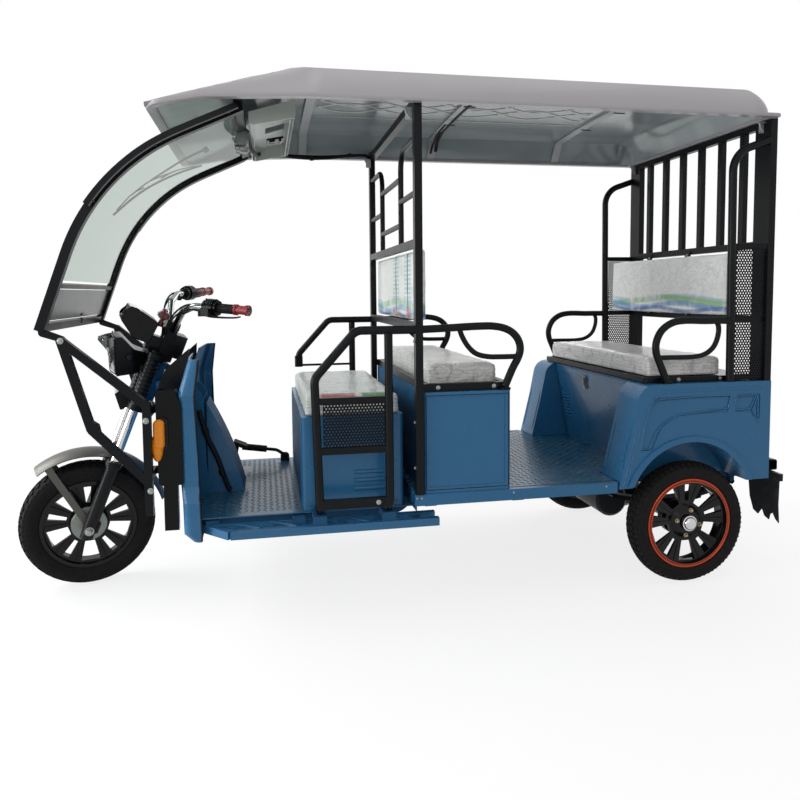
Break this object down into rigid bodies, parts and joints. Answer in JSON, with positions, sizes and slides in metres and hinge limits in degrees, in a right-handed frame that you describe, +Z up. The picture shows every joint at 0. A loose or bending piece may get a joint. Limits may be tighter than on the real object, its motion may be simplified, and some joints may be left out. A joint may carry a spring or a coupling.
{
  "type": "electric rickshaw",
  "caption": "Three-wheeled electric passenger rickshaw with an open cabin: a driver's seat, two facing passenger benches, a long roof, a bowed windscreen, hand rails and a steered front wheel.",
  "frame": {"origin": "on the ground under the middle of the whole vehicle's box", "axes": "+X forward, +Y to the vehicle's left, +Z up"},
  "size_m": [2.7931, 1.038, 1.784],
  "materials": {
    "backrest_cover": "satin",
    "black_steel": "satin",
    "black_plastic": "gloss",
    "black_rubber": "matte",
    "blue_paint": "gloss",
    "plain_steel": "satin",
    "seat_cover": "satin",
    "lamp_amber": "gloss",
    "bright_metal": "polished",
    "wheel_black": "gloss",
    "tyre_rubber": "matte",
    "lamp_clear": "clear",
    "liner_white": "matte",
    "roof_skin": "gloss",
    "lamp_red": "gloss",
    "screen_glass": "clear"
  },
  "bodies": {
    "root": {"backrests": "backrest_cover", "battery_pack": "black_plastic", "brake_controls": "black_rubber", "chassis_frame": "blue_paint", "cross_members": "blue_paint", "drive_motor": "plain_steel", "driver_cushion": "seat_cover", "driver_seat_box": "blue_paint", "floor_plates": "blue_paint", "front_apron": "blue_paint", "front_cushion": "seat_cover", "front_indicators": "lamp_amber", "front_seat_box": "blue_paint", "front_seat_rail": "black_steel", "front_side_pods": "black_plastic", "leaf_springs": "black_steel", "mesh_panels": "black_steel", "mid_armrests": "black_steel", "mid_frame": "black_steel", "mid_ladder": "black_steel", "overhead_console": "liner_white", "rear_armrests": "black_steel", "rear_axle": "black_steel", "rear_body": "blue_paint", "rear_bumper": "black_steel", "rear_cage": "black_steel", "rear_mudflaps": "black_rubber", "roof_bows": "plain_steel", "roof_shell": "roof_skin", "roof_wiring": "black_rubber", "side_rail_left": "black_steel", "side_rail_right": "black_steel", "side_steps": "blue_paint", "steering_cowl": "black_plastic", "tail_lamps": "lamp_red", "windshield_bars": "black_steel", "windshield_frame": "black_steel", "windshield_glass": "screen_glass", "windshield_stand": "black_steel", "wiper": "plain_steel"},
    "steering": {"fork_legs": "black_steel", "fork_yokes": "black_steel", "front_mudguard": "bright_metal", "handlebar": "bright_metal", "bar_clamp": "black_steel", "grips": "black_rubber", "bar_controls": "black_plastic", "instrument_pod": "black_plastic", "headlamp_housing": "black_plastic", "headlamp_lens": "lamp_clear", "spot_lamp": "lamp_clear"},
    "front_wheel": {"front_tyre": "tyre_rubber", "front_rim": "wheel_black"},
    "rear_wheel_left": {"rear_tyre_left": "tyre_rubber", "rear_rim_left": "wheel_black"},
    "rear_wheel_right": {"rear_tyre_right": "tyre_rubber", "rear_rim_right": "wheel_black"},
    "seat_lid": {"rear_seat_board": "black_steel", "rear_cushion": "seat_cover"}
  },
  "joints": [
    {"name": "steering_turn", "type": "hinge", "parent": "root", "child": "steering", "pos_m": [1.13744, 0, 0.21888], "axis": [-0.3665, 0, 0.9304], "range_deg": [-54, 26]},
    {"name": "front_wheel_spin", "type": "hinge", "parent": "steering", "child": "front_wheel", "pos_m": [1.16903, 0.00847, 0.23132], "axis": [-0.2251, 0.9703, -0.0887], "continuous": true},
    {"name": "rear_left_spin", "type": "hinge", "parent": "root", "child": "rear_wheel_left", "pos_m": [-0.972, 0.44, 0.221], "axis": [0, 1, 0], "continuous": true},
    {"name": "rear_right_spin", "type": "hinge", "parent": "root", "child": "rear_wheel_right", "pos_m": [-0.972, -0.44, 0.221], "axis": [0, 1, 0], "continuous": true},
    {"name": "rear_seat_lid", "type": "hinge", "parent": "root", "child": "seat_lid", "pos_m": [-1.236, 0, 0.741], "axis": [0, -1, 0], "range_deg": [0, 40]}
  ]
}
